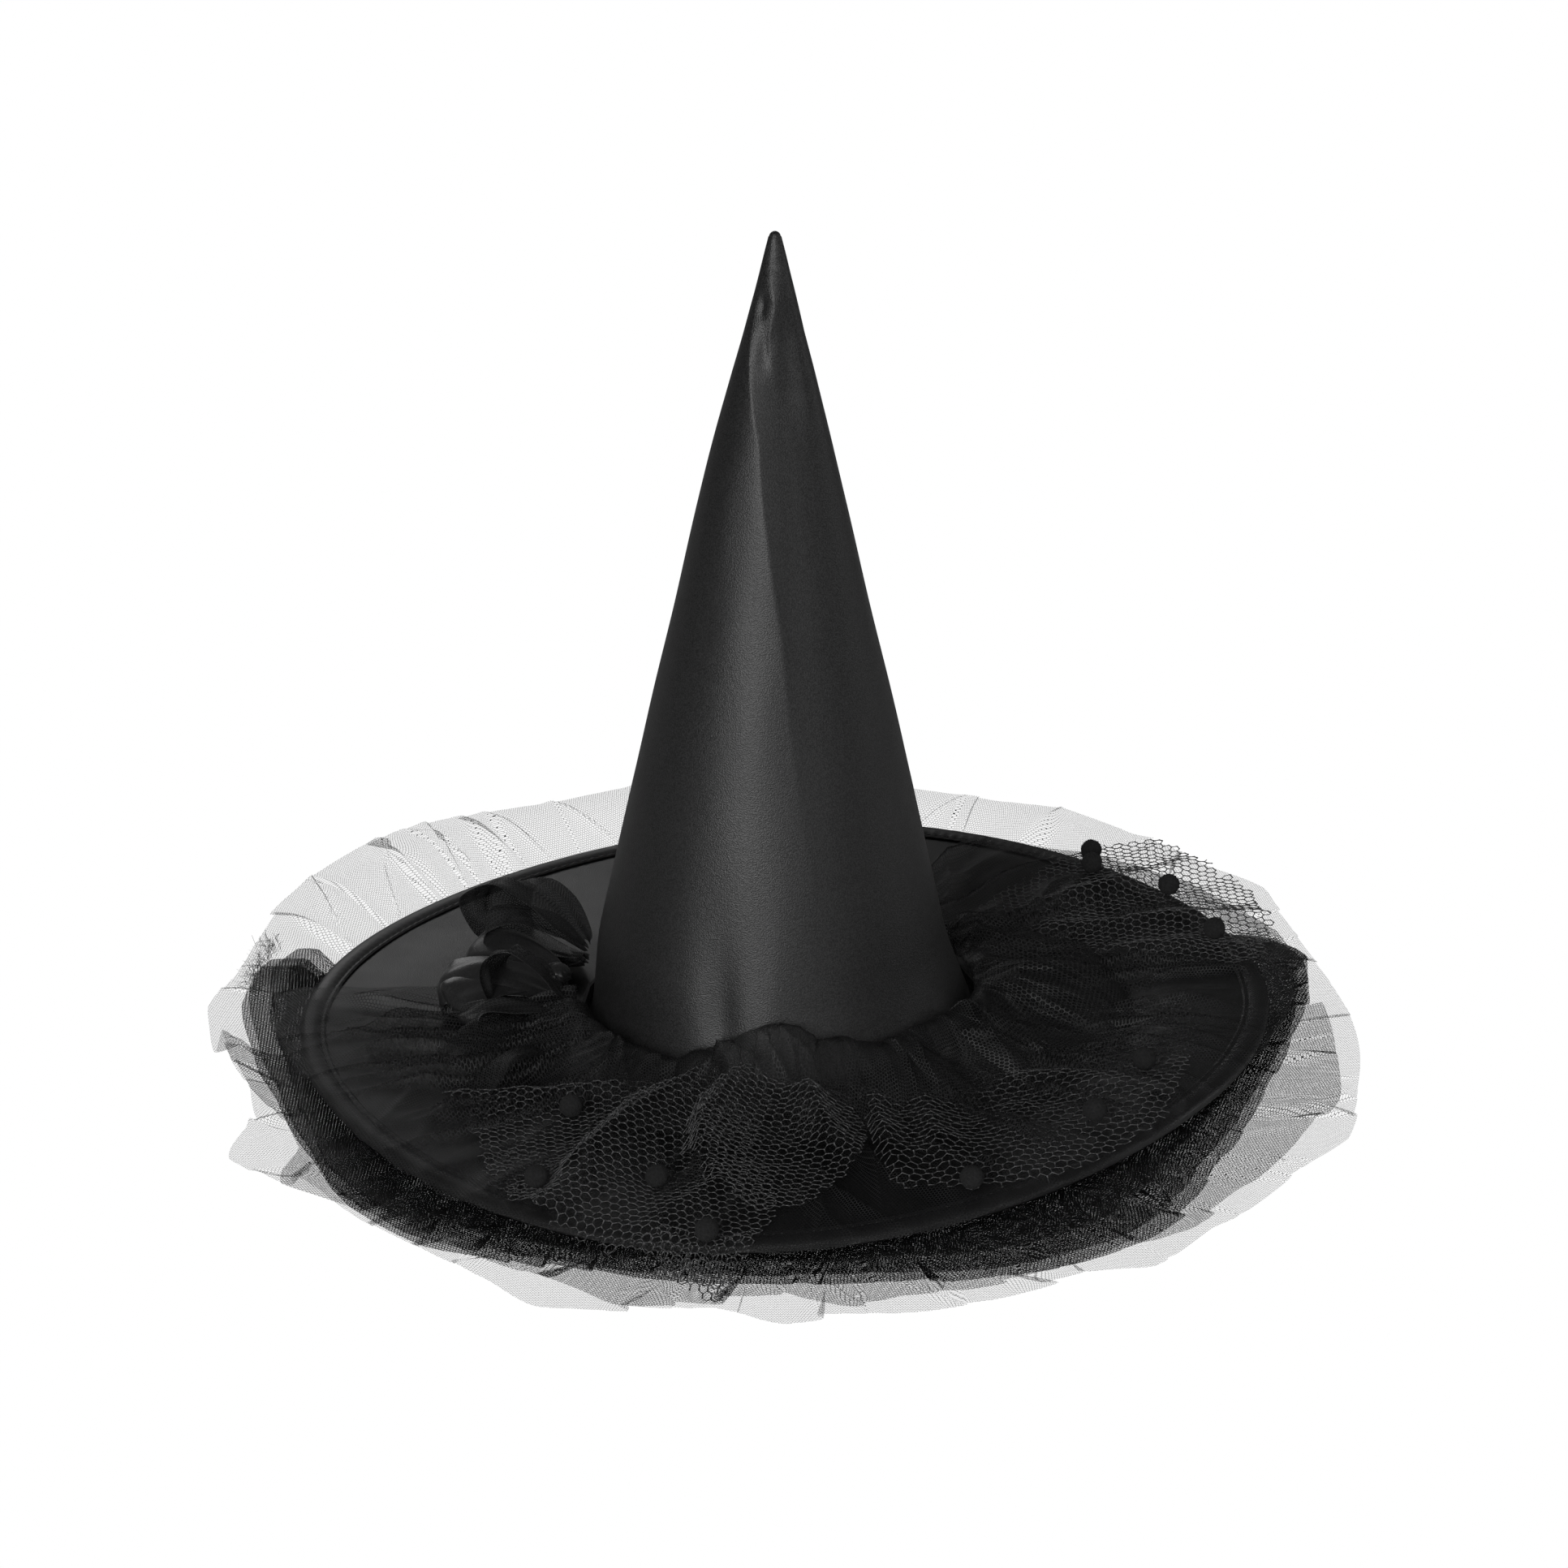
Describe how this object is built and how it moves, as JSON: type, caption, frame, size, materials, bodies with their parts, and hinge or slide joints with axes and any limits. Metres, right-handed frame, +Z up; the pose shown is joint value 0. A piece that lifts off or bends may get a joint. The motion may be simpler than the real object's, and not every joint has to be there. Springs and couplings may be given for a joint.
{
  "type": "witch hat",
  "caption": "Tall satin cone hat with a wired round brim, gathered tulle skirts, dotted veil netting and a ribbon rosette.",
  "frame": {"origin": "on the table, under the middle of the hat, where the crown's axis meets it", "axes": "+Z up along the crown, -Y towards the front, where the veil net is gathered"},
  "size_m": [0.505, 0.51, 0.37],
  "materials": {
    "crown_satin": "polyester satin with a broad soft sheen and a fine grain",
    "brim_satin": "polyester satin, soft sheen",
    "binding_satin": "satin folded over the rim and stitched down",
    "stiffener": "black non-woven stiffening felt, matt",
    "cotton_tape": "black cotton tape, matt",
    "sweatband_grosgrain": "black grosgrain ribbon, fine cross ribs",
    "brim_steel": "drawn steel wire",
    "skirt_tulle": "fine hexagonal tulle, see-through, about 1 mm mesh",
    "overlay_tulle": "fine hexagonal tulle, see-through, about 1 mm mesh",
    "veil_net": "honeycomb veil net, about 4 mm cells, slightly shiny strands",
    "pompom_fluff": "black chenille fluff, very matt",
    "rosette_satin": "satin ribbon, soft sheen",
    "rosette_tulle": "fine hexagonal tulle, see-through"
  },
  "bodies": {
    "root": {"brim_edge_binding": "binding_satin", "brim_interlining": "stiffener", "brim_top_cover": "brim_satin", "brim_tulle_overlay": "overlay_tulle", "brim_under_cover": "brim_satin", "brim_wire": "brim_steel", "brim_wire_joiner": "brim_steel", "crown_back_seam_tape": "cotton_tape", "crown_frill_front": "overlay_tulle", "crown_frill_left": "overlay_tulle", "crown_frill_right": "overlay_tulle", "crown_interlining": "stiffener", "crown_satin_cover": "crown_satin", "dotted_net_back_right": "veil_net", "dotted_net_centre_fold": "veil_net", "dotted_net_front_left": "veil_net", "dotted_net_front_right": "veil_net", "inner_tulle_skirt_lower": "skirt_tulle", "inner_tulle_skirt_upper": "skirt_tulle", "outer_tulle_skirt": "skirt_tulle", "pompom_01": "pompom_fluff", "pompom_02": "pompom_fluff", "pompom_03": "pompom_fluff", "pompom_04": "pompom_fluff", "pompom_05": "pompom_fluff", "pompom_06": "pompom_fluff", "pompom_07": "pompom_fluff", "pompom_08": "pompom_fluff", "pompom_09": "pompom_fluff", "pompom_10": "pompom_fluff", "pompom_11": "pompom_fluff", "rosette_knot": "rosette_satin", "rosette_satin_loop_left": "rosette_satin", "rosette_satin_loop_lower": "rosette_satin", "rosette_satin_loop_upper": "rosette_satin", "rosette_tulle_loop_lower": "rosette_tulle", "rosette_tulle_loop_upper": "rosette_tulle", "rosette_tulle_tail": "rosette_tulle", "ruffle_gather_tape": "cotton_tape", "sweatband": "sweatband_grosgrain"}
  },
  "joints": []
}
